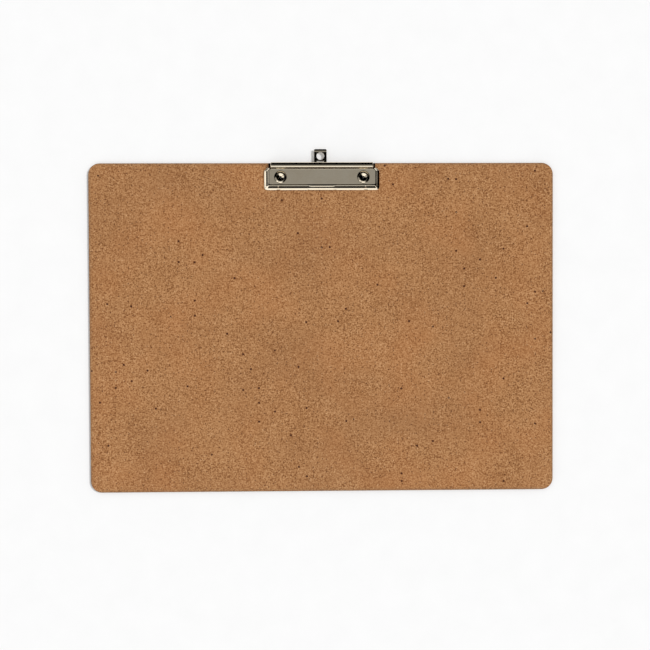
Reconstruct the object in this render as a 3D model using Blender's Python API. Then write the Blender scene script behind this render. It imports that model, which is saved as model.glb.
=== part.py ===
"""An A3 landscape hardboard clipboard with a low nickel-plated spring clip and a pull-out hanging tab.

Metres, +Z up. The board lies on its back with the writing face up. The origin is the centre of the
back face, +X is along the board's long edge, and +Y points to the edge that carries the clip.
The clip's own shapes are worked out in the clip frame: x across the clip, u forward into the sheet area
(world -Y) from a line just outside the board's clip edge, and h above the writing face.
"""

import math

import bmesh
import bpy
from mathutils import Vector

MM = 0.001
GAP = 0.05 * MM  # between pieces that rest on each other

# Board
BOARD_WIDTH = 450 * MM
BOARD_DEPTH = 318.5 * MM
BOARD_THICKNESS = 3 * MM
BOARD_CORNER_RADIUS = 11 * MM
BOARD_EDGE_BEVEL = 0.35 * MM
CLIP_OFFSET = 0.25 * MM  # the clip is riveted this far to the right of the board's centre line
CLIP_LINE = 0.5 * MM  # from the board's edge out to the line where u is 0

# Sheet metal of the clip
SHEET = 0.8 * MM
LEAST_COSINE = 0.69  # limits how far an inner corner of the sheet moves when the skin is thickened

# Hinge
PIN_RADIUS = 1.1 * MM
PIN_U = 3.3 * MM
PIN_H = 4.3 * MM
PIN_CLEARANCE = 0.06 * MM
PIN_HEAD_RADIUS = 1.8 * MM
PIN_HEAD_THICKNESS = 0.5 * MM
PIN_HEAD_PROFILE = [(1, 0), (1, 0.4), (0.6, 1), (0, 1)]  # shares of the head's radius and thickness

# Jaw plate: a dished panel inside a raised rim, rolled round the pin at the back
BARREL_RADIUS = 3.3 * MM
BARREL_START_DEGREES = 145  # where its free edge lies: 90 is straight up and 180 straight back
BARREL_END_DEGREES = 42  # where it starts to blend into the panel
BARREL_HALF_WIDTH = 49.1 * MM
BARREL_END_BAND = 1.5 * MM  # width of the strip next to each closed end
END_WALL_FOOT = 1.0 * MM  # how far each end wall reaches down below the panel's back edge
END_WALL_DEGREES = -25  # where its round part begins below the foot
PANEL_SLOPE_DEGREES = 4
PANEL_BACK_U = 7.2 * MM
PANEL_BACK_H = 4.7 * MM
PANEL_FRONT_U = 21.4 * MM
PANEL_HALF_WIDTH = 50.4 * MM
CHAMFER_INNER_U = 8.6 * MM
CHAMFER_OUTER_U = 8.2 * MM
CHAMFER_RIM_WIDTH = 3.3 * MM
CHAMFER_RIM_REACH = 2.0 * MM  # how far the lip's back end lies behind the panel
SIDE_SLOPE_DEGREES = 10  # the rim's inner slope at the sides
SIDE_SLOPE_LENGTH = 0.6 * MM
SIDE_CREST_RADIUS = 1.5 * MM
SIDE_WALL_DEGREES = 41
FRONT_SLOPE_DEGREES = 38  # and along the front
FRONT_SLOPE_LENGTH = 0.25 * MM
FRONT_CREST_RADIUS = 1.0 * MM
FRONT_WALL_DEGREES = 44.5
RIM_FILLET_RADIUS = 0.4 * MM
LIP_DEGREES = 33
LIP_FILLET_RADIUS = 0.8 * MM
LIP_TIP_U = 26.6 * MM
LIP_TIP_H = 1.0 * MM
INNER_CORNER_RADIUS = 0.4 * MM
CORNER_GROWTH = 0.45  # how fast the corner radius grows outwards across the rim
SCOOP_HALF_WIDTH = 14 * MM
SCOOP_RAMP = 4 * MM
SCOOP_LIFT = 0.65 * MM
SCOOP_FLATTEN = 0.75
ACCESS_HOLE_RADIUS = 6.1 * MM
CREST_LEVEL = 8  # the last row of points on the rim's crest, counted outwards from the panel's edge

# Base plate, riveted to the board
BASE_BACK_U = 0.8 * MM
BASE_FRONT_U = 20.5 * MM
BASE_HALF_WIDTH = 51.6 * MM
BASE_CORNER_RADIUS = 3 * MM
EAR_INNER_X = 47.2 * MM
EAR_RADIUS = 2.4 * MM
CHANNEL_HALF_WIDTH = 6.3 * MM
CHANNEL_RISE = 1.0 * MM

# Rivets
RIVET_SPACING = 80 * MM
RIVET_U = 14.5 * MM
RIVET_SHANK_RADIUS = 2.0 * MM
RIVET_HOLE_RADIUS = 2.15 * MM
COUNTERBORE_RADIUS = 4.0 * MM
COUNTERBORE_DEPTH = 0.75 * MM
# (radius, height) in mm of the dished head, above its seat, and of the rolled tail, above the board's back
RIVET_HEAD_PROFILE = [(5.6, 0), (5.6, 2.8), (5.0, 3.08), (4.4, 3.36), (4.0, 3.46)]
RIVET_HEAD_PROFILE += [(3.6, 3.4), (3.1, 3.12), (2.1, 2.54), (1.2, 2.02)]
RIVET_TAIL_PROFILE = [(1.0, 0.55), (1.5, 0.2), (2.2, 0.05), (3.1, 0.15), (3.6, 0.45)]
RIVET_TAIL_TOP_RADIUS = 3.3 * MM

# Hanging tab, which slides in the base plate's channel
TAB_OFFSET = -1.4 * MM  # from the clip's centre line
TAB_WIDTH = 12.1 * MM
TAB_REACH = 12.8 * MM  # beyond the line where u is 0, when pulled out
TAB_TRAVEL = 8.7 * MM
TAB_HOLE_RADIUS = 3.75 * MM
TAB_HOLE_REACH = 6.2 * MM
TAB_SLOT_WIDTH = 7.3 * MM
TAB_SLOT_OUTER_REACH = 1.4 * MM
TAB_BAR = 2.0 * MM
TAB_PULL_LENGTH = 2.4 * MM
TAB_RIDGE_LENGTH = 1.4 * MM
TAB_PULL_RISE = 0.17 * MM
TAB_PULL_DROP = 0.3 * MM
TAB_CORNER_RADIUS = 1.2 * MM
STOP_LENGTH = 1.1 * MM
STOP_WIDTH = 5.5 * MM
STOP_PLAY = 0.1 * MM
STOP_BOTTOM_H = 0.15 * MM

# Torsion springs, one on each half of the pin
SPRING_WIRE_RADIUS = 0.45 * MM
SPRING_COIL_RADIUS = 1.7 * MM
SPRING_TURNS = 7
SPRING_PITCH = 1.15 * MM
SPRING_INNER_X = 19 * MM
SPRING_LEG_END_U = 13 * MM
SPRING_LEG_PLAY = 0.1 * MM  # between each leg and the sheet it presses on
SPRING_COIL_START_DEGREES = -70  # round the pin, from straight forward towards up
SPRING_COIL_END_DEGREES = 42
SPRING_STEP_DEGREES = 24
LOWER_LEG_DEGREES = 20

ROUND_SEGMENTS = 24
EDGE_REACH = 0.5 * MM  # how near a named corner an edge must lie to be rounded


def clear_scene():
    for obj in list(bpy.data.objects):
        bpy.data.objects.remove(obj, do_unlink=True)


def material(name, colour, roughness, metallic):
    made = bpy.data.materials.new(name)
    made.use_nodes = True
    shader = made.node_tree.nodes["Principled BSDF"]
    shader.inputs["Base Color"].default_value = (*colour, 1)
    shader.inputs["Roughness"].default_value = roughness
    shader.inputs["Metallic"].default_value = metallic
    made.diffuse_color = (*colour, 1)
    return made


def clip_point(x, u, h):
    """World position of a point given in the clip frame."""
    return Vector((CLIP_OFFSET + x, BOARD_DEPTH / 2 + CLIP_LINE - u, BOARD_THICKNESS + h))


def mesh_object(name, points, faces, finish=None, origin=(0, 0, 0)):
    """An object with its origin at a world position, from world points and faces that wind outwards."""
    mesh = bpy.data.meshes.new(name)
    mesh.from_pydata([Vector(p) - Vector(origin) for p in points], [], faces)
    mesh.validate()
    obj = bpy.data.objects.new(name, mesh)
    obj.location = origin
    bpy.context.scene.collection.objects.link(obj)
    if finish:
        mesh.materials.append(finish)
    return obj


def face_outwards(obj):
    work = bmesh.new()
    work.from_mesh(obj.data)
    bmesh.ops.recalc_face_normals(work, faces=work.faces)
    work.to_mesh(obj.data)
    work.free()
    return obj


def shade_round(obj):
    obj.data.shade_smooth()
    obj.data.set_sharp_from_angle(angle=math.radians(35))


def prism(name, outline, axis, finish=None, origin=(0, 0, 0)):
    """A closed outline of world points, pushed along axis to make a solid."""
    count = len(outline)
    points = [Vector(p) for p in outline] + [Vector(p) + Vector(axis) for p in outline]
    faces = [list(range(count)), list(range(count, 2 * count))]
    for i in range(count):
        after = (i + 1) % count
        faces.append([i, after, count + after, count + i])
    return face_outwards(mesh_object(name, points, faces, finish, origin))


def arc(centre, radius, start_degrees, end_degrees, segments):
    """Points of a flat arc, both ends included."""
    found = []
    for i in range(segments + 1):
        angle = math.radians(start_degrees + (end_degrees - start_degrees) * i / segments)
        found.append((centre[0] + radius * math.cos(angle), centre[1] + radius * math.sin(angle)))
    return found


def turned(name, profile, base, axis, finish=None, origin=(0, 0, 0), segments=ROUND_SEGMENTS):
    """A ring-shaped or solid turning: profile is a closed list of (radius, distance along axis)."""
    axis = Vector(axis).normalized()
    side = axis.orthogonal().normalized()
    other = axis.cross(side)
    points, faces, rows = [], [], []
    for radius, along in profile:
        if radius < 1e-9:
            rows.append([len(points)] * segments)
            points.append(Vector(base) + axis * along)
            continue
        rows.append(list(range(len(points), len(points) + segments)))
        for i in range(segments):
            angle = 2 * math.pi * i / segments
            out = side * math.cos(angle) + other * math.sin(angle)
            points.append(Vector(base) + axis * along + out * radius)
    for row, after in zip(rows, rows[1:] + rows[:1]):
        for i in range(segments):
            j = (i + 1) % segments
            corners = list(dict.fromkeys([row[i], row[j], after[j], after[i]]))
            if len(corners) > 2:
                faces.append(corners)
    obj = face_outwards(mesh_object(name, points, faces, finish, origin))
    shade_round(obj)
    return obj


def rod(name, radius, start, end, segments=ROUND_SEGMENTS):
    axis = Vector(end) - Vector(start)
    profile = [(0, 0), (radius, 0), (radius, axis.length), (0, axis.length)]
    return turned(name, profile, start, axis, segments=segments)


def boolean(target, tool, operation):
    """Adds a Boolean modifier and hides its tool."""
    tool.hide_render = True
    tool.display_type = "WIRE"
    modifier = target.modifiers.new(f"{operation.lower()}_{tool.name}", "BOOLEAN")
    modifier.operation = operation
    modifier.object = tool
    modifier.solver = "EXACT"


def side_name(side):
    return "left" if side < 0 else "right"


def round_corners(obj, places, radius):
    """Rounds the upright edges of obj that stand at the given (x, y) places of its own frame."""
    work = bmesh.new()
    work.from_mesh(obj.data)
    corners = []
    for edge in work.edges:
        for x, y in places:
            if all(abs(v.co.x - x) < EDGE_REACH and abs(v.co.y - y) < EDGE_REACH for v in edge.verts):
                corners.append(edge)
    bmesh.ops.bevel(work, geom=corners, offset=radius, segments=5, profile=0.5, affect="EDGES")
    work.to_mesh(obj.data)
    work.free()


def cylinder_through(name, x, u, radius, low, high, segments=ROUND_SEGMENTS):
    """An upright round cutter in the clip frame, from height low to high above the writing face."""
    return rod(name, radius, clip_point(x, u, low), clip_point(x, u, high), segments)


# Board --------------------------------------------------------------------------------------------


def make_board(finish):
    half_width, half_depth = BOARD_WIDTH / 2, BOARD_DEPTH / 2
    outline = []
    for quarter, (sx, sy) in enumerate([(1, 1), (-1, 1), (-1, -1), (1, -1)]):
        centre = (sx * (half_width - BOARD_CORNER_RADIUS), sy * (half_depth - BOARD_CORNER_RADIUS))
        start = 90 * quarter
        outline += arc(centre, BOARD_CORNER_RADIUS, start, start + 90, 8)
    board = prism("board", [(x, y, 0) for x, y in outline], (0, 0, BOARD_THICKNESS), finish)
    bevel = board.modifiers.new("eased_edges", "BEVEL")
    bevel.width = BOARD_EDGE_BEVEL
    bevel.segments = 2
    bevel.limit_method = "ANGLE"
    bevel.angle_limit = math.radians(60)
    bottom = -BOARD_THICKNESS
    for side in (-1, 1):
        x = side * RIVET_SPACING / 2
        where = side_name(side)
        hole = cylinder_through(f"cut_board_hole_{where}", x, RIVET_U, RIVET_HOLE_RADIUS, bottom - MM, MM)
        boolean(board, hole, "DIFFERENCE")
        recess_top = bottom + COUNTERBORE_DEPTH
        recess = cylinder_through(
            f"cut_counterbore_{where}", x, RIVET_U, COUNTERBORE_RADIUS, bottom - MM, recess_top
        )
        boolean(board, recess, "DIFFERENCE")
    return board


# Base plate ---------------------------------------------------------------------------------------


def make_base_plate(finish):
    top = GAP + SHEET
    roof = top + CHANNEL_RISE
    ceiling = GAP + CHANNEL_RISE
    foot = CHANNEL_HALF_WIDTH + CHANNEL_RISE
    left, right = TAB_OFFSET - CHANNEL_HALF_WIDTH, TAB_OFFSET + CHANNEL_HALF_WIDTH
    section = [(-BASE_HALF_WIDTH, GAP), (TAB_OFFSET - foot, GAP), (left, ceiling), (right, ceiling)]
    section += [(TAB_OFFSET + foot, GAP), (BASE_HALF_WIDTH, GAP), (BASE_HALF_WIDTH, top)]
    section += [(TAB_OFFSET + foot, top), (right, roof), (left, roof), (TAB_OFFSET - foot, top)]
    section += [(-BASE_HALF_WIDTH, top)]
    outline = [clip_point(x, BASE_BACK_U, h) for x, h in section]
    plate = prism("base_plate", outline, (0, BASE_BACK_U - BASE_FRONT_U, 0), finish)
    right_x = CLIP_OFFSET + BASE_HALF_WIDTH
    left_x = CLIP_OFFSET - BASE_HALF_WIDTH
    front_y = clip_point(0, BASE_FRONT_U, 0).y
    round_corners(plate, [(left_x, front_y), (right_x, front_y)], BASE_CORNER_RADIUS)
    for side in (-1, 1):
        boolean(plate, make_ear(side), "UNION")
        x = side * RIVET_SPACING / 2
        name = f"cut_base_hole_{side_name(side)}"
        hole = cylinder_through(name, x, RIVET_U, RIVET_HOLE_RADIUS, -MM, 3 * MM)
        boolean(plate, hole, "DIFFERENCE")
    boolean(plate, make_stop(ceiling), "UNION")
    pin_hole = rod(
        "cut_base_pin_holes",
        PIN_RADIUS + PIN_CLEARANCE,
        clip_point(-EAR_INNER_X - 5 * MM, PIN_U, PIN_H),
        clip_point(EAR_INNER_X + 5 * MM, PIN_U, PIN_H),
    )
    boolean(plate, pin_hole, "DIFFERENCE")
    return plate


def make_ear(side):
    """An upright lug that carries the pin just inside the jaw's end wall."""
    back, front = PIN_U - EAR_RADIUS, PIN_U + EAR_RADIUS
    curve = arc((PIN_U, PIN_H), EAR_RADIUS, 0, 180, 10)
    outline = [clip_point(side * EAR_INNER_X, u, h) for u, h in [(back, GAP), (front, GAP), *curve]]
    return prism(f"tool_ear_{side_name(side)}", outline, (side * SHEET, 0, 0))


def stop_u():
    """Outer and inner side of the stop that stands in the tab's slot."""
    outer = TAB_TRAVEL - TAB_SLOT_OUTER_REACH + STOP_PLAY
    return outer, outer + STOP_LENGTH


def make_stop(ceiling):
    """A tongue pressed down from the channel's roof into the tab's slot."""
    outer, inner = stop_u()
    half = STOP_WIDTH / 2
    outline = [
        clip_point(TAB_OFFSET - half, outer, STOP_BOTTOM_H),
        clip_point(TAB_OFFSET + half, outer, STOP_BOTTOM_H),
        clip_point(TAB_OFFSET + half, outer, ceiling + SHEET / 2),
        clip_point(TAB_OFFSET - half, outer, ceiling + SHEET / 2),
    ]
    return prism("tool_stop", outline, (0, outer - inner, 0))


# Jaw plate ----------------------------------------------------------------------------------------


def walk(start, heading_degrees, moves):
    """Points along a path of straight and curved moves in (u, h).

    A move is ("line", length, steps) or ("arc", radius, turn_degrees, steps). A positive turn is upwards.
    """
    u, h = start
    heading = math.radians(heading_degrees)
    points = [(u, h)]
    for kind, size, *rest in moves:
        steps = rest[-1]
        for _ in range(steps):
            if kind == "line":
                length = size / steps
            else:
                turn = math.radians(rest[0]) / steps
                length = 2 * size * math.sin(abs(turn) / 2)
                heading += turn / 2
            u += length * math.cos(heading)
            h += length * math.sin(heading)
            if kind == "arc":
                heading += turn / 2
            points.append((u, h))
    return points


def panel_height(u):
    return PANEL_BACK_H - (u - PANEL_BACK_U) * math.tan(math.radians(PANEL_SLOPE_DEGREES))


def barrel_path():
    """The rolled back of the jaw, from its free edge over the top to the panel."""
    path = arc((PIN_U, PIN_H), BARREL_RADIUS, BARREL_START_DEGREES, BARREL_END_DEGREES, 13)
    last_u, last_h = path[-1]
    end_u, end_h = PANEL_BACK_U, PANEL_BACK_H
    start_slope = math.tan(math.radians(BARREL_END_DEGREES - 90))
    end_slope = -math.tan(math.radians(PANEL_SLOPE_DEGREES))
    span = end_u - last_u
    for i in (1, 2, 3, 4):
        t = i / 4
        blend = (2 * t**3 - 3 * t**2 + 1) * last_h + (t**3 - 2 * t**2 + t) * span * start_slope
        blend += (3 * t**2 - 2 * t**3) * end_h + (t**3 - t**2) * span * end_slope
        path.append((last_u + span * t, blend))
    return path


def rim_profile(slope_degrees, slope_length, crest_radius, wall_degrees):
    """Outward distance and height, above the panel's edge, of the rim, wall and lip."""
    moves = [
        ("arc", RIM_FILLET_RADIUS, slope_degrees, 2),
        ("line", slope_length, 1),
        ("arc", crest_radius, -slope_degrees - wall_degrees, CREST_LEVEL - 3),
    ]
    profile = walk((0, 0), 0, moves)
    out, height = profile[-1]
    tip_out, tip_height = LIP_TIP_U - PANEL_FRONT_U, LIP_TIP_H - panel_height(PANEL_FRONT_U)
    wall_slope, lip_slope = math.tan(math.radians(wall_degrees)), math.tan(math.radians(LIP_DEGREES))
    bend_out = (height + wall_slope * out - tip_height - lip_slope * tip_out) / (wall_slope - lip_slope)
    bend_height = height - wall_slope * (bend_out - out)
    tangent = LIP_FILLET_RADIUS * math.tan(math.radians(wall_degrees - LIP_DEGREES) / 2)
    wall_length = math.hypot(bend_out - out, bend_height - height) - tangent
    lip_length = math.hypot(tip_out - bend_out, tip_height - bend_height) - tangent
    moves = [
        ("line", wall_length, 1),
        ("arc", LIP_FILLET_RADIUS, wall_degrees - LIP_DEGREES, 2),
        ("line", lip_length, 1),
    ]
    return profile + walk((out, height), -wall_degrees, moves)[1:]


def smooth(t):
    t = min(1, max(0, t))
    return t * t * (3 - 2 * t)


def scoop(x):
    """1 in the finger scoop at the middle of the front edge, 0 outside it."""
    return smooth((SCOOP_HALF_WIDTH - abs(x)) / SCOOP_RAMP)


def rim_stations():
    """Places along the rim of one half, from the back to the middle of the front.

    Each is (kind, share), the kind being "chamfer" from the barrel's end, then "side", "corner" and "front".
    """
    places = [("chamfer", t) for t in (0, 0.5, 1)]
    places += [("side", t) for t in (0.5, 1)]
    places += [("corner", t) for t in (0.25, 0.5, 0.75, 1)]
    ramp = [SCOOP_HALF_WIDTH - SCOOP_RAMP * t for t in (0, 0.25, 0.5, 0.75, 1)]
    places += [("front", x) for x in (33 * MM, *ramp, 5 * MM, 0)]
    return places


def rim_height(u, level, profile):
    """Height of one level of the rim beside the place u along the panel."""
    return panel_height(min(u, PANEL_FRONT_U)) + profile[level][1]


def scooped(x, level, h, profile):
    """Height on the front edge after the finger scoop has flattened the rim and lifted the lip."""
    if level <= CREST_LEVEL:
        rise = max(0, h - panel_height(PANEL_FRONT_U))
        return h - rise * SCOOP_FLATTEN * scoop(x)
    crest_out, tip_out = profile[CREST_LEVEL][0], profile[-1][0]
    return h + SCOOP_LIFT * scoop(x) * (profile[level][0] - crest_out) / (tip_out - crest_out)


def rim_point(place, level, side_profile, front_profile):
    """One point of the jaw's rim, wall or lip for the half with positive x: (x, u, h)."""
    kind, share = place
    side_out, front_out = side_profile[level][0], front_profile[level][0]
    across = side_out / side_profile[-1][0]
    radius = INNER_CORNER_RADIUS + CORNER_GROWTH * front_out
    half_width = PANEL_HALF_WIDTH + side_out
    front_u = PANEL_FRONT_U + front_out
    corner_u = front_u - radius
    vertex_u = CHAMFER_INNER_U + (CHAMFER_OUTER_U - CHAMFER_INNER_U) * across
    if kind == "front":
        h = rim_height(front_u, level, front_profile)
        return share, front_u, scooped(share, level, h, front_profile)
    if kind == "corner":
        angle = math.radians(90 * share)
        x = half_width - radius + radius * math.cos(angle)
        u = corner_u + radius * math.sin(angle)
        h = rim_height(u, level, side_profile)
        return x, u, h + (rim_height(u, level, front_profile) - h) * smooth(share)
    if kind == "chamfer":
        back_x = BARREL_HALF_WIDTH + CHAMFER_RIM_WIDTH * across
        back_u = PANEL_BACK_U - CHAMFER_RIM_REACH * across
        x = back_x + (half_width - back_x) * share
        u = back_u + (vertex_u - back_u) * share
    else:
        x, u = half_width, vertex_u + (corner_u - vertex_u) * share
    return x, u, rim_height(u, level, side_profile)


def thicken_jaw(obj, rows):
    """Gives the jaw's skin its sheet thickness inwards. rows are the rim's vertices, level by level."""
    work = bmesh.new()
    work.from_mesh(obj.data)
    bmesh.ops.recalc_face_normals(work, faces=work.faces)
    work.normal_update()
    outer = list(work.verts)
    moves = []
    for vertex in outer:
        cosine = min(vertex.normal.dot(face.normal) for face in vertex.link_faces)
        moves.append(vertex.normal * -SHEET / max(LEAST_COSINE, cosine))
    for side, end in ((1, 0), (-1, -1)):
        moves[rows[0][end]] = moves[rows[1][end]] + Vector((-side * SHEET, 0, 0))
        first, last = moves[rows[2][end]], moves[rows[CREST_LEVEL + 1][end]]
        for level in range(3, CREST_LEVEL + 1):
            moves[rows[level][end]] = first.lerp(last, (level - 2) / (CREST_LEVEL - 1))
    border = [list(edge.verts) for edge in work.edges if edge.is_boundary]
    skin = [[vertex.index for vertex in face.verts] for face in work.faces]
    inner = [work.verts.new(vertex.co + move) for vertex, move in zip(outer, moves)]
    for corners in skin:
        work.faces.new([inner[i] for i in reversed(corners)])
    for a, b in border:
        work.faces.new([a, b, inner[b.index], inner[a.index]])
    bmesh.ops.recalc_face_normals(work, faces=work.faces)
    work.to_mesh(obj.data)
    work.free()


def make_jaw(finish):
    """The jaw's outer skin, thickened to sheet metal and pierced."""
    pin = clip_point(0, PIN_U, PIN_H)
    side_profile = rim_profile(SIDE_SLOPE_DEGREES, SIDE_SLOPE_LENGTH, SIDE_CREST_RADIUS, SIDE_WALL_DEGREES)
    front_profile = rim_profile(
        FRONT_SLOPE_DEGREES, FRONT_SLOPE_LENGTH, FRONT_CREST_RADIUS, FRONT_WALL_DEGREES
    )
    half = rim_stations()
    places = [(1, p) for p in half] + [(-1, p) for p in reversed(half[:-1])]
    points, faces = [], []

    def add(x, u, h):
        points.append(clip_point(x, u, h))
        return len(points) - 1

    rows = []
    for level in range(len(front_profile)):
        row = []
        for side, place in places:
            x, u, h = rim_point(place, level, side_profile, front_profile)
            row.append(add(side * x, u, h))
        rows.append(row)
    for inner, outer in zip(rows, rows[1:]):
        for i in range(len(inner) - 1):
            faces.append([inner[i], inner[i + 1], outer[i + 1], outer[i]])

    path = barrel_path()
    band_x = BARREL_HALF_WIDTH - BARREL_END_BAND
    columns = [[add(x, u, h) for u, h in path[:-1]] for x in (BARREL_HALF_WIDTH, -BARREL_HALF_WIDTH)]
    columns[0].append(rows[0][0])
    columns[1].append(rows[0][-1])
    columns[1:1] = [[add(x, u, h) for u, h in path] for x in (band_x, -band_x)]
    for near, far in zip(columns, columns[1:]):
        for i in range(len(path) - 1):
            faces.append([near[i], far[i], far[i + 1], near[i + 1]])
    faces.append(rows[0][::-1] + [columns[1][-1], columns[2][-1]])
    lower = [(PANEL_BACK_U - END_WALL_FOOT / 2, PANEL_BACK_H - END_WALL_FOOT)]
    lower += arc((PIN_U, PIN_H), BARREL_RADIUS, END_WALL_DEGREES, BARREL_START_DEGREES - 360, 12)[:-1]
    for side, edge in ((1, columns[0]), (-1, columns[-1])):
        closing = [add(side * BARREL_HALF_WIDTH, u, h) for u, h in lower]
        loop = edge + closing
        faces.append(loop if side > 0 else list(reversed(loop)))

    jaw = mesh_object("jaw_plate", points, faces, finish, pin)
    thicken_jaw(jaw, rows)
    for side in (-1, 1):
        hole = cylinder_through(
            f"cut_access_hole_{side_name(side)}",
            side * RIVET_SPACING / 2,
            RIVET_U,
            ACCESS_HOLE_RADIUS,
            2 * MM,
            9 * MM,
            32,
        )
        boolean(jaw, hole, "DIFFERENCE")
    reach = BARREL_HALF_WIDTH + 0.4 * MM
    pin_hole = rod(
        "cut_jaw_pin_holes",
        PIN_RADIUS + PIN_CLEARANCE,
        clip_point(-reach, PIN_U, PIN_H),
        clip_point(reach, PIN_U, PIN_H),
    )
    boolean(jaw, pin_hole, "DIFFERENCE")
    jaw.data.shade_smooth()
    jaw.data.set_sharp_from_angle(angle=math.radians(40))
    return jaw


# Pin, rivets, springs and tab ---------------------------------------------------------------------


def make_pin(finish):
    half = BARREL_HALF_WIDTH + GAP
    head = [(r * PIN_HEAD_RADIUS, half + t * PIN_HEAD_THICKNESS) for r, t in PIN_HEAD_PROFILE]
    right_end = [(PIN_RADIUS, half), *head]
    profile = [(radius, -along) for radius, along in reversed(right_end)] + right_end
    centre = clip_point(0, PIN_U, PIN_H)
    return turned("hinge_pin", profile, centre, (1, 0, 0), finish, centre)


def make_rivet(side, finish):
    """A tubular rivet: dished head on the base plate, rolled tail in the recess of the board's back."""
    seat = GAP + SHEET + GAP
    shoulder = COUNTERBORE_DEPTH - GAP - BOARD_THICKNESS
    profile = [(radius * MM, height * MM - BOARD_THICKNESS) for radius, height in RIVET_TAIL_PROFILE]
    profile += [(RIVET_TAIL_TOP_RADIUS, shoulder)]
    profile += [(RIVET_SHANK_RADIUS, shoulder), (RIVET_SHANK_RADIUS, seat)]
    profile += [(radius * MM, seat + height * MM) for radius, height in RIVET_HEAD_PROFILE]
    base = clip_point(side * RIVET_SPACING / 2, RIVET_U, 0)
    return turned(f"rivet_{side_name(side)}", profile, base, (0, 0, 1), finish, base)


def spring_route(side):
    """Centre line of one spring in the clip frame: lower leg, coil on the pin, upper leg under the jaw."""
    rest_h = GAP + SHEET + SPRING_WIRE_RADIUS + SPRING_LEG_PLAY
    radius = SPRING_COIL_RADIUS
    inner_x = SPRING_INNER_X
    turn_degrees = 360 * SPRING_TURNS - (SPRING_COIL_END_DEGREES - SPRING_COIL_START_DEGREES)
    steps = round(turn_degrees / SPRING_STEP_DEGREES)
    coil = []
    for i in range(steps + 1):
        angle = math.radians(SPRING_COIL_START_DEGREES - turn_degrees * i / steps)
        x = inner_x + SPRING_PITCH * SPRING_TURNS * i / steps
        coil.append((x, PIN_U + radius * math.cos(angle), PIN_H + radius * math.sin(angle)))
    first, last = coil[0], coil[-1]
    meet_u = first[1] + (first[2] - rest_h) / math.tan(math.radians(LOWER_LEG_DEGREES))
    lower = [(inner_x, SPRING_LEG_END_U, rest_h), (inner_x, meet_u, rest_h)]
    down = math.tan(math.radians(90 - SPRING_COIL_END_DEGREES))
    below_panel = SHEET + SPRING_WIRE_RADIUS + SPRING_LEG_PLAY
    clearance = below_panel / math.cos(math.radians(PANEL_SLOPE_DEGREES))
    under = [last]
    while under[-1][2] > panel_height(under[-1][1]) - clearance:
        x, u, h = under[-1]
        under.append((x, u + 0.05 * MM, h - 0.05 * MM * down))
    bend = under[-1]
    tip_h = panel_height(SPRING_LEG_END_U) - clearance
    return [(side * x, u, h) for x, u, h in [*lower, *coil, bend, (bend[0], SPRING_LEG_END_U, tip_h)]]


def make_spring(side, finish):
    name = f"torsion_spring_{side_name(side)}"
    curve = bpy.data.curves.new(name, "CURVE")
    curve.dimensions = "3D"
    curve.bevel_depth = SPRING_WIRE_RADIUS
    curve.bevel_resolution = 1
    curve.use_fill_caps = True
    route = spring_route(side)
    spline = curve.splines.new("POLY")
    spline.points.add(len(route) - 1)
    origin = clip_point(0, PIN_U, PIN_H)
    for point, place in zip(spline.points, route):
        point.co = (*(clip_point(*place) - origin), 1)
    curve.materials.append(finish)
    spring = bpy.data.objects.new(name, curve)
    spring.location = origin
    bpy.context.scene.collection.objects.link(spring)
    return spring


def make_tab(finish):
    """A strip with a hanging hole, a slot for the stop and a shallow ridge at its end for a fingernail."""
    low, high = 2 * GAP, 2 * GAP + SHEET
    inner_end = stop_u()[1] + STOP_PLAY + TAB_BAR
    bend_u = TAB_PULL_LENGTH - TAB_REACH
    half = TAB_WIDTH / 2
    ridge_u = TAB_RIDGE_LENGTH - TAB_REACH
    end_drop = TAB_PULL_DROP - TAB_PULL_RISE
    section = [(inner_end, low), (inner_end, high), (bend_u, high), (ridge_u, high + TAB_PULL_RISE)]
    section += [(-TAB_REACH, high - end_drop), (-TAB_REACH, low)]
    section += [(ridge_u, low + TAB_PULL_RISE), (bend_u, low)]
    outline = [clip_point(TAB_OFFSET - half, u, h) for u, h in section]
    tab = prism("hanging_tab", outline, (TAB_WIDTH, 0, 0), finish, clip_point(TAB_OFFSET, 0, low))
    round_corners(tab, [(-half, TAB_REACH), (half, TAB_REACH)], TAB_CORNER_RADIUS)
    hole = cylinder_through("cut_tab_hole", TAB_OFFSET, -TAB_HOLE_REACH, TAB_HOLE_RADIUS, -MM, 4 * MM, 32)
    boolean(tab, hole, "DIFFERENCE")
    slot_inner = stop_u()[1] + STOP_PLAY
    half_slot = TAB_SLOT_WIDTH / 2
    corners = [(-half_slot, -TAB_SLOT_OUTER_REACH), (half_slot, -TAB_SLOT_OUTER_REACH)]
    corners += [(half_slot, slot_inner), (-half_slot, slot_inner)]
    slot = prism("cut_tab_slot", [clip_point(TAB_OFFSET + x, u, -MM) for x, u in corners], (0, 0, 4 * MM))
    boolean(tab, slot, "DIFFERENCE")
    return tab


def main():
    clear_scene()
    hardboard = material("hardboard", (0.40, 0.19, 0.08), 0.7, 0)
    nickel = material("nickel_plate", (0.66, 0.64, 0.59), 0.16, 1)
    spring_steel = material("spring_steel", (0.42, 0.41, 0.40), 0.3, 1)
    make_board(hardboard)
    make_base_plate(nickel)
    make_jaw(nickel)
    make_pin(nickel)
    make_tab(nickel)
    for side in (-1, 1):
        make_rivet(side, nickel)
        make_spring(side, spring_steel)


main()
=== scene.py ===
"""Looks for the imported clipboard: finer metal pieces, procedural materials, light and camera.

Metres, +Z up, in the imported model's frame. The clip's own shapes use the clip frame: x across the clip
from its centre, u forward (world -Y) from a line just outside the board's clip edge, and h above the
writing face.
"""

import math

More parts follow.
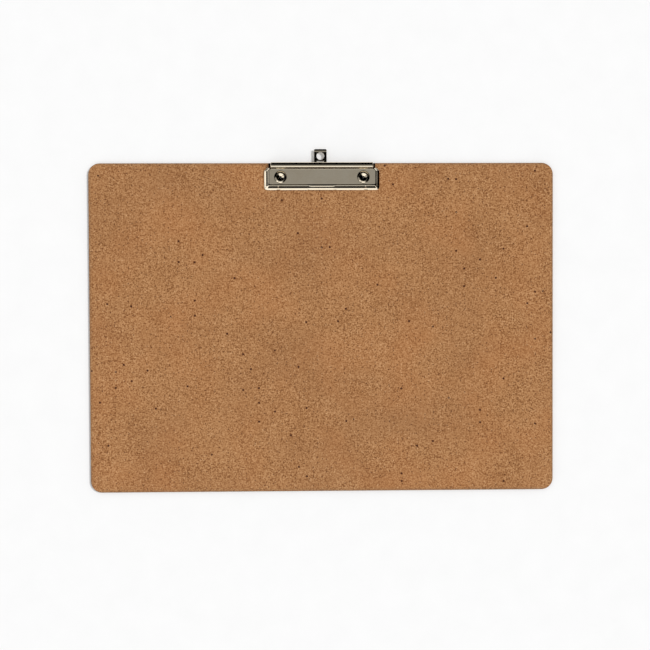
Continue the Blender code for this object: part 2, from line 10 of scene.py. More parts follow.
import bmesh
import bpy
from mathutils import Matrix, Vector


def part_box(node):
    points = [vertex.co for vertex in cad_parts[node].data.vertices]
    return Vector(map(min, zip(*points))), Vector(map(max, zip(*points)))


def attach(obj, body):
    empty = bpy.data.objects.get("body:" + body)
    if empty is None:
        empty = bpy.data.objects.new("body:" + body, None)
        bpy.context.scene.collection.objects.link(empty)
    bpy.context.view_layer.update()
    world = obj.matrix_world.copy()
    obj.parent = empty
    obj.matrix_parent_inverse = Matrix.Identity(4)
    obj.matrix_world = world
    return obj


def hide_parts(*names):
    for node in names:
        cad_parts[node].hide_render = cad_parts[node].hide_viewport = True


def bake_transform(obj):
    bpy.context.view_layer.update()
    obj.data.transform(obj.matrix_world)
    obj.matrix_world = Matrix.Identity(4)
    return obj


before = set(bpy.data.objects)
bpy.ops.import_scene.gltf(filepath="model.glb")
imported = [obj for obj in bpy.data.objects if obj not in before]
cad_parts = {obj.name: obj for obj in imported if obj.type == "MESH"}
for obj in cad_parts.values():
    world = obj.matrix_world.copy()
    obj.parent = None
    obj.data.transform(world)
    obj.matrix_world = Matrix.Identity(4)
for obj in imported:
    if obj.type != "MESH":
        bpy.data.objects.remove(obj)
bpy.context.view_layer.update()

MM = 0.001
CLIP_LINE = 0.5 * MM  # from the board's edge out to the line where u is 0

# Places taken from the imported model
BOARD_LOW, BOARD_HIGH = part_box("board")
PIN_LOW, PIN_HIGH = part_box("hinge_pin")
TAB_LOW, TAB_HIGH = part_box("hanging_tab")
EDGE_Y = BOARD_HIGH.y + CLIP_LINE
FACE_Z = BOARD_HIGH.z
BOARD_THICKNESS = BOARD_HIGH.z - BOARD_LOW.z
CLIP_X = (PIN_LOW.x + PIN_HIGH.x) / 2
PIN_U = EDGE_Y - (PIN_LOW.y + PIN_HIGH.y) / 2
PIN_H = (PIN_LOW.z + PIN_HIGH.z) / 2 - FACE_Z
TAB_X = (TAB_LOW.x + TAB_HIGH.x) / 2 - CLIP_X

# Sheet metal
SHEET = 0.8 * MM
GAP = 0.05 * MM
EASED_EDGE = 0.09 * MM

# Jaw plate
BARREL_RADIUS = 3.3 * MM
BARREL_START_DEGREES = 145
BARREL_END_DEGREES = 42
BARREL_HALF_WIDTH = 49.1 * MM
BARREL_END_ROUNDING = 0.45 * MM
END_FADE_U = 5.2 * MM  # where the ends' rounding starts to fade out towards the panel
END_FADE_LENGTH = 1.2 * MM
END_WALL_FOOT = 1.0 * MM
END_WALL_DEGREES = -25
CREASE_DEPTH = 0.02 * MM
CREASE_LENGTH = 1.3 * MM
PANEL_SLOPE_DEGREES = 4
PANEL_BACK_U = 7.2 * MM
PANEL_BACK_H = 4.7 * MM
PANEL_FRONT_U = 21.4 * MM
PANEL_HALF_WIDTH = 50.4 * MM
CHAMFER_INNER_U = 8.6 * MM
CHAMFER_OUTER_U = 8.2 * MM
CHAMFER_RIM_WIDTH = 3.3 * MM
CHAMFER_RIM_REACH = 2.0 * MM
CHAMFER_ROUNDING = 0.9 * MM
SIDE_SLOPE_DEGREES = 10
SIDE_SLOPE_LENGTH = 0.6 * MM
SIDE_CREST_RADIUS = 1.5 * MM
SIDE_WALL_DEGREES = 41
FRONT_SLOPE_DEGREES = 38
FRONT_SLOPE_LENGTH = 0.25 * MM
FRONT_CREST_RADIUS = 1.0 * MM
FRONT_WALL_DEGREES = 44.5
RIM_FILLET_RADIUS = 0.4 * MM
LIP_DEGREES = 33
LIP_FILLET_RADIUS = 0.8 * MM
LIP_TIP_U = 26.6 * MM
LIP_TIP_H = 1.0 * MM
FILLET_STEPS = 5
CREST_STEPS = 14
CREST_LEVEL = FILLET_STEPS + 1 + CREST_STEPS
INNER_CORNER_RADIUS = 0.4 * MM
CORNER_GROWTH = 0.45
SCOOP_HALF_WIDTH = 14 * MM
SCOOP_RAMP = 4 * MM
SCOOP_LIFT = 0.65 * MM
SCOOP_FLATTEN = 0.75
DART_X = 42 * MM
DART_HALF_WIDTH = 0.9 * MM
DART_HEIGHT = 0.3 * MM
ACCESS_HOLE_RADIUS = 6.1 * MM

# Base plate
BASE_BACK_U = 0.8 * MM
BASE_FRONT_U = 20.5 * MM
BASE_HALF_WIDTH = 51.6 * MM
BASE_CORNER_RADIUS = 3 * MM
EAR_INNER_X = 47.2 * MM
EAR_RADIUS = 2.4 * MM
CHANNEL_HALF_WIDTH = 6.3 * MM
CHANNEL_RISE = 1.0 * MM
CHANNEL_BEND = 0.4 * MM

# Rivets, in mm: (radius, height) of the dished head above its seat and of the rolled tail above the back
RIVET_SPACING = 80 * MM
RIVET_U = 14.5 * MM
RIVET_SHANK_RADIUS = 2.0 * MM
RIVET_HOLE_RADIUS = 2.15 * MM
RIVET_HEAD_PROFILE = [(5.6, 0), (5.6, 2.8), (5.0, 3.08), (4.4, 3.36), (4.0, 3.46)]
RIVET_HEAD_PROFILE += [(3.6, 3.4), (3.1, 3.12), (2.1, 2.54), (1.2, 2.02)]
RIVET_TAIL_PROFILE = [(1.0, 0.55), (1.5, 0.2), (2.2, 0.05), (3.1, 0.15), (3.6, 0.45)]
RIVET_TAIL_TOP_RADIUS = 3.3 * MM
COUNTERBORE_DEPTH = 0.75 * MM

# Pin
PIN_RADIUS = 1.1 * MM
PIN_CLEARANCE = 0.06 * MM
PIN_HEAD_RADIUS = 1.8 * MM
PIN_HEAD_THICKNESS = 0.5 * MM

# Hanging tab
TAB_WIDTH = 12.1 * MM
TAB_REACH = 12.8 * MM
TAB_TRAVEL = 8.7 * MM
TAB_HOLE_RADIUS = 3.75 * MM
TAB_HOLE_REACH = 6.2 * MM
TAB_SLOT_WIDTH = 7.3 * MM
TAB_SLOT_OUTER_REACH = 1.4 * MM
TAB_BAR = 2.0 * MM
TAB_PULL_LENGTH = 2.4 * MM
TAB_RIDGE_LENGTH = 1.4 * MM
TAB_PULL_RISE = 0.17 * MM
TAB_PULL_DROP = 0.3 * MM
TAB_CORNER_RADIUS = 1.2 * MM
STOP_LENGTH = 1.1 * MM
STOP_WIDTH = 5.5 * MM
STOP_PLAY = 0.1 * MM
STOP_BOTTOM_H = 0.15 * MM

# Torsion springs
SPRING_WIRE_RADIUS = 0.45 * MM
SPRING_COIL_RADIUS = 1.7 * MM
SPRING_TURNS = 7
SPRING_PITCH = 1.15 * MM
SPRING_INNER_X = 19 * MM
SPRING_LEG_END_U = 13 * MM
SPRING_LEG_PLAY = 0.1 * MM
SPRING_COIL_START_DEGREES = -70
SPRING_COIL_END_DEGREES = 42
LOWER_LEG_DEGREES = 20

# Camera, nearly straight above the board
CAMERA_PLACE = (-0.01505, 0.0205, 0.9059)
CAMERA_TURN_DEGREES = (-1.139, -1.129, -0.241)
CAMERA_LENS = 51.51
SENSOR_WIDTH = 36

# Board face
# width of the band of painted shade along the board's edges
EDGE_SHADE_WIDTH = 2.8 * MM
MOTTLE_MIDDLE = 1.285  # the mottle's usual value
DARK_SPECK = (0.060, 0.012, 0.002)
LIGHT_SPECK = (0.75, 0.46, 0.24)
SPECKS = [  # cells per metre, share of the cells left plain, size, strength, colour
    (130, 0.965, 0.14, 0.95, DARK_SPECK),
    (230, 0.80, 0.15, 0.58, DARK_SPECK),
    (330, 0.80, 0.16, 0.22, DARK_SPECK),
    (260, 0.86, 0.15, 0.38, LIGHT_SPECK),
]

# Light
BACKDROP_LIGHT = 0.95
EVEN_LIGHT = 0.65
EVEN_LIGHT_TILT = 0.04  # brighter towards the left
BOX_LIGHT = 1.15
CEILING_LIGHT = 0.40
KEY_ENERGY = 1.88
KEY_DIRECTION = (0.62, 0.20, 0.85)
KEY_WIDTH_DEGREES = 12

# Floor
FLOOR_HALF_SIZE = 12
FLOOR_DROP = 0.02 * MM


# Mesh helpers -------------------------------------------------------------------------------------


def clip_point(x, u, h):
    """World position of a point given in the clip frame."""
    return Vector((CLIP_X + x, EDGE_Y - u, FACE_Z + h))


def mesh_object(name, points, faces, origin=(0, 0, 0)):
    """An object with its origin at a world position, from world points."""
    mesh = bpy.data.meshes.new(name)
    mesh.from_pydata([Vector(p) - Vector(origin) for p in points], [], faces)
    mesh.validate()
    obj = bpy.data.objects.new(name, mesh)
    obj.location = origin
    bpy.context.scene.collection.objects.link(obj)
    return obj


def face_outwards(obj):
    work = bmesh.new()
    work.from_mesh(obj.data)
    bmesh.ops.recalc_face_normals(work, faces=work.faces)
    work.to_mesh(obj.data)
    work.free()
    return obj


def prism(name, outline, axis, origin=(0, 0, 0)):
    """A closed outline of world points, pushed along axis to make a solid."""
    count = len(outline)
    points = [Vector(p) for p in outline] + [Vector(p) + Vector(axis) for p in outline]
    faces = [list(range(count)), list(range(count, 2 * count))]
    for i in range(count):
        after = (i + 1) % count
        faces.append([i, after, count + after, count + i])
    return face_outwards(mesh_object(name, points, faces, origin))


def arc(centre, radius, start_degrees, end_degrees, segments):
    """Points of a flat arc, both ends included."""
    found = []
    for i in range(segments + 1):
        angle = math.radians(start_degrees + (end_degrees - start_degrees) * i / segments)
        found.append((centre[0] + radius * math.cos(angle), centre[1] + radius * math.sin(angle)))
    return found


def turned(name, profile, base, axis, origin=(0, 0, 0), segments=48):
    """A turning: profile is a closed list of (radius, distance along axis)."""
    axis = Vector(axis).normalized()
    side = axis.orthogonal().normalized()
    other = axis.cross(side)
    points, faces, rows = [], [], []
    for radius, along in profile:
        if radius < 1e-9:
            rows.append([len(points)] * segments)
            points.append(Vector(base) + axis * along)
            continue
        rows.append(list(range(len(points), len(points) + segments)))
        for i in range(segments):
            angle = 2 * math.pi * i / segments
            out = side * math.cos(angle) + other * math.sin(angle)
            points.append(Vector(base) + axis * along + out * radius)
    for row, after in zip(rows, rows[1:] + rows[:1]):
        for i in range(segments):
            j = (i + 1) % segments
            corners = list(dict.fromkeys([row[i], row[j], after[j], after[i]]))
            if len(corners) > 2:
                faces.append(corners)
    return face_outwards(mesh_object(name, points, faces, origin))


def rod(name, radius, start, end, segments=48):
    axis = Vector(end) - Vector(start)
    profile = [(0, 0), (radius, 0), (radius, axis.length), (0, axis.length)]
    return turned(name, profile, start, axis, segments=segments)


def upright_rod(name, x, u, radius, low, high, segments=64):
    """A round cutter in the clip frame, from height low to high above the writing face."""
    return rod(name, radius, clip_point(x, u, low), clip_point(x, u, high), segments)


def rounded(points, rounds):
    """Cuts the corners of an open polyline, rounds times over."""
    for _ in range(rounds):
        cut = [points[0]]
        for a, b in zip(points, points[1:]):
            cut.append(tuple(0.75 * p + 0.25 * q for p, q in zip(a, b)))
            cut.append(tuple(0.25 * p + 0.75 * q for p, q in zip(a, b)))
        points = [*cut, points[-1]]
    return points


def modified(obj, kind, **settings):
    modifier = obj.modifiers.new(kind.lower(), kind)
    for key, value in settings.items():
        setattr(modifier, key, value)
    return modifier


def boolean(target, tool, operation):
    modified(target, "BOOLEAN", operation=operation, object=tool, solver="EXACT")


def ease_edges(obj, width=EASED_EDGE):
    limit = {"limit_method": "ANGLE", "angle_limit": math.radians(50)}
    modified(obj, "BEVEL", width=width, segments=2, use_clamp_overlap=True, **limit)


def bake_mesh(obj, smooth_degrees=30, tools=()):
    """Applies the modifiers, deletes the tools, and shades smooth up to the angle."""
    bpy.context.view_layer.update()
    graph = bpy.context.evaluated_depsgraph_get()
    mesh = bpy.data.meshes.new_from_object(obj.evaluated_get(graph))
    obj.modifiers.clear()
    obj.data = mesh
    mesh.shade_smooth()
    mesh.set_sharp_from_angle(angle=math.radians(smooth_degrees))
    for tool in tools:
        bpy.data.objects.remove(tool, do_unlink=True)
    return obj


def finish_piece(obj, body, node, finish):
    """Gives a piece its material and says what it rides on and replaces."""
    obj.data.materials.clear()
    obj.data.materials.append(finish)
    if body:
        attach(obj, body)
        modified(obj, "WEIGHTED_NORMAL", keep_sharp=True, weight=50)
    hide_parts(node)


# Materials ----------------------------------------------------------------------------------------


class Shader:
    """A material built from nodes, with short ways to make the nodes it needs."""

    def __init__(self, name):
        self.material = bpy.data.materials.new(name)
        self.material.use_nodes = True
        self.tree = self.material.node_tree
        self.principled = self.tree.nodes["Principled BSDF"]
        self.place = self.add("ShaderNodeTexCoord").outputs["Object"]

    def add(self, kind, inputs=None, **settings):
        node = self.tree.nodes.new(kind)
        for key, value in settings.items():
            setattr(node, key, value)
        for key, value in (inputs or {}).items():
            self.feed(node.inputs[key], value)
        return node

    def feed(self, socket, value):
        if isinstance(value, bpy.types.NodeSocket):
            self.tree.links.new(value, socket)
        else:
            socket.default_value = value

    def set(self, **inputs):
        for key, value in inputs.items():
            self.feed(self.principled.inputs[key.replace("_", " ")], value)

    def math(self, operation, a, b=0.0, c=0.0, clamp=False):
        node = self.add("ShaderNodeMath", {0: a, 1: b, 2: c}, operation=operation, use_clamp=clamp)
        return node.outputs[0]

    def stretch(self, scale, turn=0.0):
        """The place, scaled and then turned about Z, in radians."""
        inputs = {"Vector": self.place, "Scale": scale, "Rotation": (0, 0, turn)}
        return self.add("ShaderNodeMapping", inputs).outputs[0]

    def noise(self, scale, detail=2.0, roughness=0.5, place=None):
        inputs = {"Vector": place or self.place, "Scale": scale, "Detail": detail, "Roughness": roughness}
        return self.add("ShaderNodeTexNoise", inputs).outputs["Fac"]

    def ramp(self, factor, stops):
        """stops is a list of (position, grey level or linear colour)."""
        node = self.add("ShaderNodeValToRGB", {"Fac": factor})
        elements = node.color_ramp.elements
        while len(elements) < len(stops):
            elements.new(0.5)
        for element, (position, value) in zip(elements, stops):
            colour = value if isinstance(value, tuple) else (value, value, value)
            element.position = position
            element.color = (*colour, 1)
        return node.outputs["Color"]

    def mix(self, factor, a, b, blend="MIX"):
        node = self.add("ShaderNodeMix", data_type="RGBA", blend_type=blend)
        for socket, value in ((node.inputs[0], factor), (node.inputs[6], a), (node.inputs[7], b)):
            self.feed(socket, value if not isinstance(value, tuple) else (*value[:3], 1))
        return node.outputs[2]

    def specks(self, scale, share, size):
        """1 inside small grains, each in the middle of a cell of a cell pattern, 0 between them."""
        inputs = {"Vector": self.place, "Scale": float(scale), "Randomness": 1.0}
        cells = self.add("ShaderNodeTexVoronoi", inputs, voronoi_dimensions="2D").outputs
        lot = self.add("ShaderNodeSeparateColor", {0: cells["Color"]}).outputs[0]
        inside = self.math("LESS_THAN", cells["Distance"], size)
        return self.math("MULTIPLY", self.math("GREATER_THAN", lot, share), inside)

    def bump(self, height, distance, strength, before=None):
        inputs = {"Height": height, "Distance": distance, "Strength": strength}
        if before:
            inputs["Normal"] = before
        return self.add("ShaderNodeBump", inputs).outputs[0]


def make_hardboard():
    """Pressed wood fibre: short fibres, soft patches, dark and light specks, and painted shade darkening
    the face near the board's edges.
    """
    s = Shader("hardboard")
    fine = s.noise(720, 1.5, 0.6)
    fibre_a = s.noise(1, 1.5, 0.55, s.stretch((430, 1000, 500), 0.5))
    fibre_b = s.noise(1, 1.5, 0.55, s.stretch((1000, 430, 500), 0.35))
    clumps = s.noise(190, 2.0, 0.55)
    cloud = s.noise(26, 3.0, 0.5)
    mottle = s.math("MULTIPLY_ADD", fine, 1.20, s.math("MULTIPLY", clumps, 0.08))
    mottle = s.math("MULTIPLY_ADD", fibre_a, 0.55, mottle)
    mottle = s.math("MULTIPLY_ADD", fibre_b, 0.55, mottle)
    mottle = s.math("MULTIPLY_ADD", cloud, 0.18, mottle)
    stops = [
        (0.0, (0.130, 0.040, 0.008)),
        (0.30, (0.228, 0.090, 0.026)),
        (0.5, (0.380, 0.178, 0.067)),
        (0.7, (0.480, 0.250, 0.108)),
        (1.0, (0.560, 0.320, 0.160)),
    ]
    contrast = s.math("MULTIPLY_ADD", s.noise(48, 2.0, 0.5), 1.3, 0.35)
    level = s.math("MULTIPLY_ADD", s.math("SUBTRACT", mottle, MOTTLE_MIDDLE), contrast, 0.5)
    face = s.ramp(level, stops)
    warm = s.ramp(s.noise(17, 2.0, 0.5), [(0.45, 0.0), (0.70, 1.0)])
    face = s.mix(s.math("MULTIPLY", warm, 0.2), face, (0.45, 0.165, 0.050))
    streaks = s.noise(1, 3.0, 0.5, s.stretch((9, 14, 9), 0.9))
    face = s.mix(s.ramp(streaks, [(0.45, 0.0), (0.75, 0.30)]), face, (0.24, 0.105, 0.040))
    for scale, share, size, strength, colour in SPECKS:
        amount = s.math("MULTIPLY", s.specks(scale, share, size), strength)
        face = s.mix(amount, face, colour)
    # Painted shade: the face gets darker in a band along the board's edges, standing in for the shade on
    # the edge's rounding.
    place = s.add("ShaderNodeSeparateXYZ", {0: s.place}).outputs
    rim_x = s.math("SUBTRACT", s.math("ABSOLUTE", place[0]), BOARD_HIGH.x - EDGE_SHADE_WIDTH)
    rim_y = s.math("SUBTRACT", s.math("ABSOLUTE", place[1]), BOARD_HIGH.y - EDGE_SHADE_WIDTH)
    rim = s.math("DIVIDE", s.math("MAXIMUM", rim_x, rim_y), EDGE_SHADE_WIDTH, clamp=True)
    face = s.mix(s.math("MULTIPLY", rim, 0.55), face, (0.20, 0.12, 0.06))
    layers = s.noise(1, 3.0, 0.6, s.stretch((220, 220, 2600)))
    edge = s.ramp(layers, [(0.3, (0.10, 0.045, 0.018)), (0.7, (0.26, 0.125, 0.055))])
    upness = s.add("ShaderNodeSeparateXYZ", {0: s.add("ShaderNodeTexCoord").outputs["Normal"]}).outputs[2]
    sides = s.ramp(s.math("ABSOLUTE", upness), [(0.75, 1.0), (0.97, 0.0)])
    colour = s.mix(sides, face, edge)
    s.set(Base_Color=colour, Metallic=0.0, IOR=1.45, Specular_IOR_Level=0.35)
    s.set(Roughness=s.ramp(clumps, [(0.3, 0.50), (0.7, 0.62)]))
    relief = s.bump(mottle, 0.00003, 0.35)
    s.set(Normal=relief)
    return s.material


def make_nickel():
    """Bright nickel plate: warm, with slight waves, hairline scratches and duller patches."""
    s = Shader("nickel_plate")
    patches = s.noise(60, 3.0, 0.55)
    tint = s.ramp(patches, [(0.35, (0.69, 0.60, 0.455)), (0.65, (0.72, 0.64, 0.50))])
    hair = s.noise(1, 2.0, 0.6, s.stretch((120, 5200, 900), 0.06))
    s.set(Base_Color=tint, Metallic=1.0)
    s.set(Roughness=s.ramp(hair, [(0.3, 0.07), (0.75, 0.15)]))
    waves = s.noise(140, 1.0, 0.5)
    relief = s.bump(waves, 0.00002, 0.25)
    relief = s.bump(hair, 0.000001, 0.3, relief)
    s.set(Normal=relief)
    return s.material


def make_spring_steel():
    """Drawn wire: darker, with marks along it."""
    s = Shader("spring_steel")
    marks = s.noise(1, 3.0, 0.6, s.stretch((3000, 500, 500)))
    s.set(Base_Color=s.ramp(marks, [(0.3, (0.30, 0.29, 0.28)), (0.7, (0.46, 0.45, 0.43))]), Metallic=1.0)
    s.set(Roughness=s.ramp(marks, [(0.3, 0.22), (0.7, 0.38)]))
    return s.material


# Jaw plate ----------------------------------------------------------------------------------------


def walk(start, heading_degrees, moves):
    """Points along a path of moves in (u, h): ("line", length, steps) or ("arc", radius, turn, steps)."""
    u, h = start
    heading = math.radians(heading_degrees)
    points = [(u, h)]
    for kind, size, *rest in moves:
        steps = rest[-1]
        for _ in range(steps):
            if kind == "line":
                length = size / steps
            else:
                turn = math.radians(rest[0]) / steps
                length = 2 * size * math.sin(abs(turn) / 2)
                heading += turn / 2
            u += length * math.cos(heading)
            h += length * math.sin(heading)
            if kind == "arc":
                heading += turn / 2
            points.append((u, h))
    return points


def panel_height(u):
    return PANEL_BACK_H - (u - PANEL_BACK_U) * math.tan(math.radians(PANEL_SLOPE_DEGREES))


def smooth(t):
    t = min(1, max(0, t))
    return t * t * (3 - 2 * t)


def barrel_path():
    """The rolled back of the jaw, from its free edge over the top, through the crease to the panel."""
    path = arc((PIN_U, PIN_H), BARREL_RADIUS, BARREL_START_DEGREES, BARREL_END_DEGREES, 40)
    last_u, last_h = path[-1]
    start_slope = math.tan(math.radians(BARREL_END_DEGREES - 90))
    end_slope = -math.tan(math.radians(PANEL_SLOPE_DEGREES))
    span = PANEL_BACK_U - last_u
    steps = 14
    for i in range(1, steps + 1):
        t = i / steps
        h = (2 * t**3 - 3 * t**2 + 1) * last_h + (t**3 - 2 * t**2 + t) * span * start_slope
        h += (3 * t**2 - 2 * t**3) * PANEL_BACK_H + (t**3 - t**2) * span * end_slope
        u = last_u + span * t
        behind = (PANEL_BACK_U - u) / CREASE_LENGTH
        h -= CREASE_DEPTH * smooth(2 * behind) * smooth(2 - 2 * behind)
        path.append((u, h))
    return path


def rim_profile(slope_degrees, slope_length, crest_radius, wall_degrees):
    """Outward distance and height, above the panel's edge, of the rim, wall and lip."""
    moves = [
        ("arc", RIM_FILLET_RADIUS, slope_degrees, FILLET_STEPS),
        ("line", slope_length, 1),
        ("arc", crest_radius, -slope_degrees - wall_degrees, CREST_STEPS),
    ]
    profile = walk((0, 0), 0, moves)
    out, height = profile[-1]
    tip_out, tip_height = LIP_TIP_U - PANEL_FRONT_U, LIP_TIP_H - panel_height(PANEL_FRONT_U)
    wall_slope, lip_slope = math.tan(math.radians(wall_degrees)), math.tan(math.radians(LIP_DEGREES))
    bend_out = (height + wall_slope * out - tip_height - lip_slope * tip_out) / (wall_slope - lip_slope)
    bend_height = height - wall_slope * (bend_out - out)
    tangent = LIP_FILLET_RADIUS * math.tan(math.radians(wall_degrees - LIP_DEGREES) / 2)
    wall_length = math.hypot(bend_out - out, bend_height - height) - tangent
    lip_length = math.hypot(tip_out - bend_out, tip_height - bend_height) - tangent
    moves = [
        ("line", wall_length, 6),
        ("arc", LIP_FILLET_RADIUS, wall_degrees - LIP_DEGREES, 6),
        ("line", lip_length, 3),
    ]
    return profile + walk((out, height), -wall_degrees, moves)[1:]


def scoop(x):
    """1 in the finger scoop at the middle of the front edge, 0 outside it."""
    return smooth((SCOOP_HALF_WIDTH - abs(x)) / SCOOP_RAMP)


def front_stations():
    """The x of each place along the front, from the corner to the middle."""
    places = [49, 46.5, 44.5, 43.4]
    places += [DART_X / MM + DART_HALF_WIDTH / MM * t for t in (1, 0.66, 0.33, 0, -0.33, -0.66, -1)]
    places += [40, 37, 33, 28, 23, 19, 16]
    places += [(SCOOP_HALF_WIDTH - SCOOP_RAMP * t / 14) / MM for t in range(15)]
    places += [8.5, 7, 5, 2.5, 0]
    return [x * MM for x in places]


def plan_row(side_out, front_out, across):
    """One row of the jaw's rim seen from above, right half: (x, u, turn).

    across goes from 0 at the panel's edge to 1 at the lip's tip, and turn from 0 to 1 round the corner.
    """
    radius = INNER_CORNER_RADIUS + CORNER_GROWTH * front_out
    half_width = PANEL_HALF_WIDTH + side_out
    front_u = PANEL_FRONT_U + front_out
    corner = Vector((half_width, front_u - radius))
    back_x = BARREL_HALF_WIDTH + CHAMFER_RIM_WIDTH * across
    back = Vector((back_x, PANEL_BACK_U - CHAMFER_RIM_REACH * across))
    vertex = Vector((half_width, CHAMFER_INNER_U + (CHAMFER_OUTER_U - CHAMFER_INNER_U) * across))
    rounding = CHAMFER_ROUNDING * min(1, 0.3 + across)
    before = vertex + (back - vertex).normalized() * rounding
    after = vertex + (corner - vertex).normalized() * rounding
    row = [(*back.lerp(before, i / 5), 0) for i in range(5)]
    for i in range(7):
        t = i / 6
        place = before.lerp(vertex, t).lerp(vertex.lerp(after, t), t)
        row.append((*place, 0))
    row += [(*after.lerp(corner, i / 6), 0) for i in range(1, 6)]
    for i in range(11):
        angle = math.pi / 2 * i / 10
        x = half_width - radius + radius * math.cos(angle)
        u = corner.y + radius * math.sin(angle)
        row.append((x, u, i / 10))
    row += [(x, front_u, 1) for x in front_stations()]
    return row


def rim_height(u, level, profile):
    """Height of one level of the rim beside the place u along the panel."""
    return panel_height(min(u, PANEL_FRONT_U)) + profile[level][1]


def scooped(x, level, h, profile):
    """Height on the front edge after the finger scoop has flattened the rim and lifted the lip."""
    if level <= CREST_LEVEL:
        rise = max(0, h - panel_height(PANEL_FRONT_U))
        return h - rise * SCOOP_FLATTEN * scoop(x)
    crest_out, tip_out = profile[CREST_LEVEL][0], profile[-1][0]
    return h + SCOOP_LIFT * scoop(x) * (profile[level][0] - crest_out) / (tip_out - crest_out)


def placed_height(x, u, turn, level, side_profile, front_profile):
    side = rim_height(u, level, side_profile)
    if turn == 0:
        return side
    front = rim_height(u, level, front_profile)
    if turn == 1:
        return scooped(x, level, front, front_profile)
    return side + (front - side) * smooth(turn)


def dart(x, level):
    """How far the small stiffening dart bulges out of the front wall."""
    across = 1 - min(1, abs(x - DART_X) / DART_HALF_WIDTH)
    down = min(1, max(0, 1 - abs(level - CREST_LEVEL - 3) / 5))
    return DART_HEIGHT * smooth(across) * smooth(down)


def make_jaw(finish):
    side_profile = rim_profile(
        SIDE_SLOPE_DEGREES, SIDE_SLOPE_LENGTH, SIDE_CREST_RADIUS, SIDE_WALL_DEGREES
    )
    front_profile = rim_profile(
        FRONT_SLOPE_DEGREES, FRONT_SLOPE_LENGTH, FRONT_CREST_RADIUS, FRONT_WALL_DEGREES
    )
    full_width = side_profile[-1][0]
    points, faces = [], []

    def add(x, u, h):
        points.append(clip_point(x, u, h))
        return len(points) - 1

    rows = []
    for level, ((side_out, _), (front_out, _)) in enumerate(zip(side_profile, front_profile)):
        placed = []
        for x, u, turn in plan_row(side_out, front_out, side_out / full_width):
            h = placed_height(x, u, turn, level, side_profile, front_profile)
            if turn == 1:
                u += dart(x, level)
            placed.append((x, u, h))
        row = [add(x, u, h) for x, u, h in placed]
        row += [add(-x, u, h) for x, u, h in reversed(placed[:-1])]
        rows.append(row)
    for inner, outer in zip(rows, rows[1:]):
        for i in range(len(inner) - 1):
            faces.append([inner[i], inner[i + 1], outer[i + 1], outer[i]])

    path = barrel_path()
    lower = [(PANEL_BACK_U - END_WALL_FOOT / 2, PANEL_BACK_H - END_WALL_FOOT)]
    lower += arc((PIN_U, PIN_H), BARREL_RADIUS, END_WALL_DEGREES, BARREL_START_DEGREES - 360, 30)[:-1]
    columns = []
    start = BARREL_HALF_WIDTH - BARREL_END_ROUNDING
    for i in range(5, -1, -1):
        angle = math.pi / 2 * i / 5
        out = BARREL_END_ROUNDING * math.sin(angle)
        columns.append((start + out, BARREL_END_ROUNDING * (1 - math.cos(angle))))
    columns += [(start - 0.6 * MM, 0), (start - 1.6 * MM, 0)]

    def ring(x, shrink, route, share):
        found = []
        for (u, h), keep in zip(route, share):
            away = Vector((u - PIN_U, h - PIN_H))
            away = away - away.normalized() * shrink * keep
            found.append(add(x, PIN_U + away.x, PIN_H + away.y))
        return found

    fade = [1 - smooth((u - END_FADE_U) / END_FADE_LENGTH) for u, _ in path]
    right = []
    left = []
    for number, (x, shrink) in enumerate(columns):
        for side, found in ((1, right), (-1, left)):
            if number == 0:
                column = ring(side * x, shrink, path[:-1], fade) + [rows[0][0] if side > 0 else rows[0][-1]]
            else:
                column = ring(side * x, shrink, path, fade)
            found.append(column)
    strips = right + left[::-1]
    for near, far in zip(strips, strips[1:]):
        for i in range(len(path) - 1):
            faces.append([near[i], far[i], far[i + 1], near[i + 1]])
    back_line = [column[-1] for column in strips[1:-1]]
    faces.append(rows[0][::-1] + back_line)
    for side, edge in ((1, right[0]), (-1, left[0])):
        x, shrink = columns[0]
        loop = edge + ring(side * x, shrink, lower, [1] * len(lower))
        faces.append(loop if side > 0 else loop[::-1])

    pin = clip_point(0, PIN_U, PIN_H)
    jaw = face_outwards(mesh_object("jaw_plate_fine", points, faces, pin))
    modified(jaw, "SOLIDIFY", thickness=SHEET, offset=-1, use_even_offset=False)
    tools = []
    for side in (-1, 1):
        x = side * RIVET_SPACING / 2
        tools.append(upright_rod("cutter", x, RIVET_U, ACCESS_HOLE_RADIUS, 2 * MM, 9 * MM, 72))
    reach = BARREL_HALF_WIDTH + 0.4 * MM
    ends = [clip_point(side * reach, PIN_U, PIN_H) for side in (-1, 1)]
    tools.append(rod("cutter", PIN_RADIUS + PIN_CLEARANCE, *ends))
    for tool in tools:
        boolean(jaw, tool, "DIFFERENCE")
    bake_mesh(jaw, 40, tools)
    ease_edges(jaw)
    bake_mesh(jaw, 40)
    finish_piece(jaw, "jaw", "jaw_plate", finish)


# Base plate ---------------------------------------------------------------------------------------


def stop_u():
    """Outer and inner side of the stop that stands in the tab's slot."""
    outer = TAB_TRAVEL - TAB_SLOT_OUTER_REACH + STOP_PLAY
    return outer, outer + STOP_LENGTH


def channel_line(base, bend):
    """Half of the plate's section over the channel, from the foot to the middle, with rounded bends."""
    foot = CHANNEL_HALF_WIDTH + CHANNEL_RISE
    line = [(foot + 2 * bend, base), (foot, base), (CHANNEL_HALF_WIDTH, base + CHANNEL_RISE)]
    line.append((CHANNEL_HALF_WIDTH - 2 * bend, base + CHANNEL_RISE))
    return rounded(line, 3)


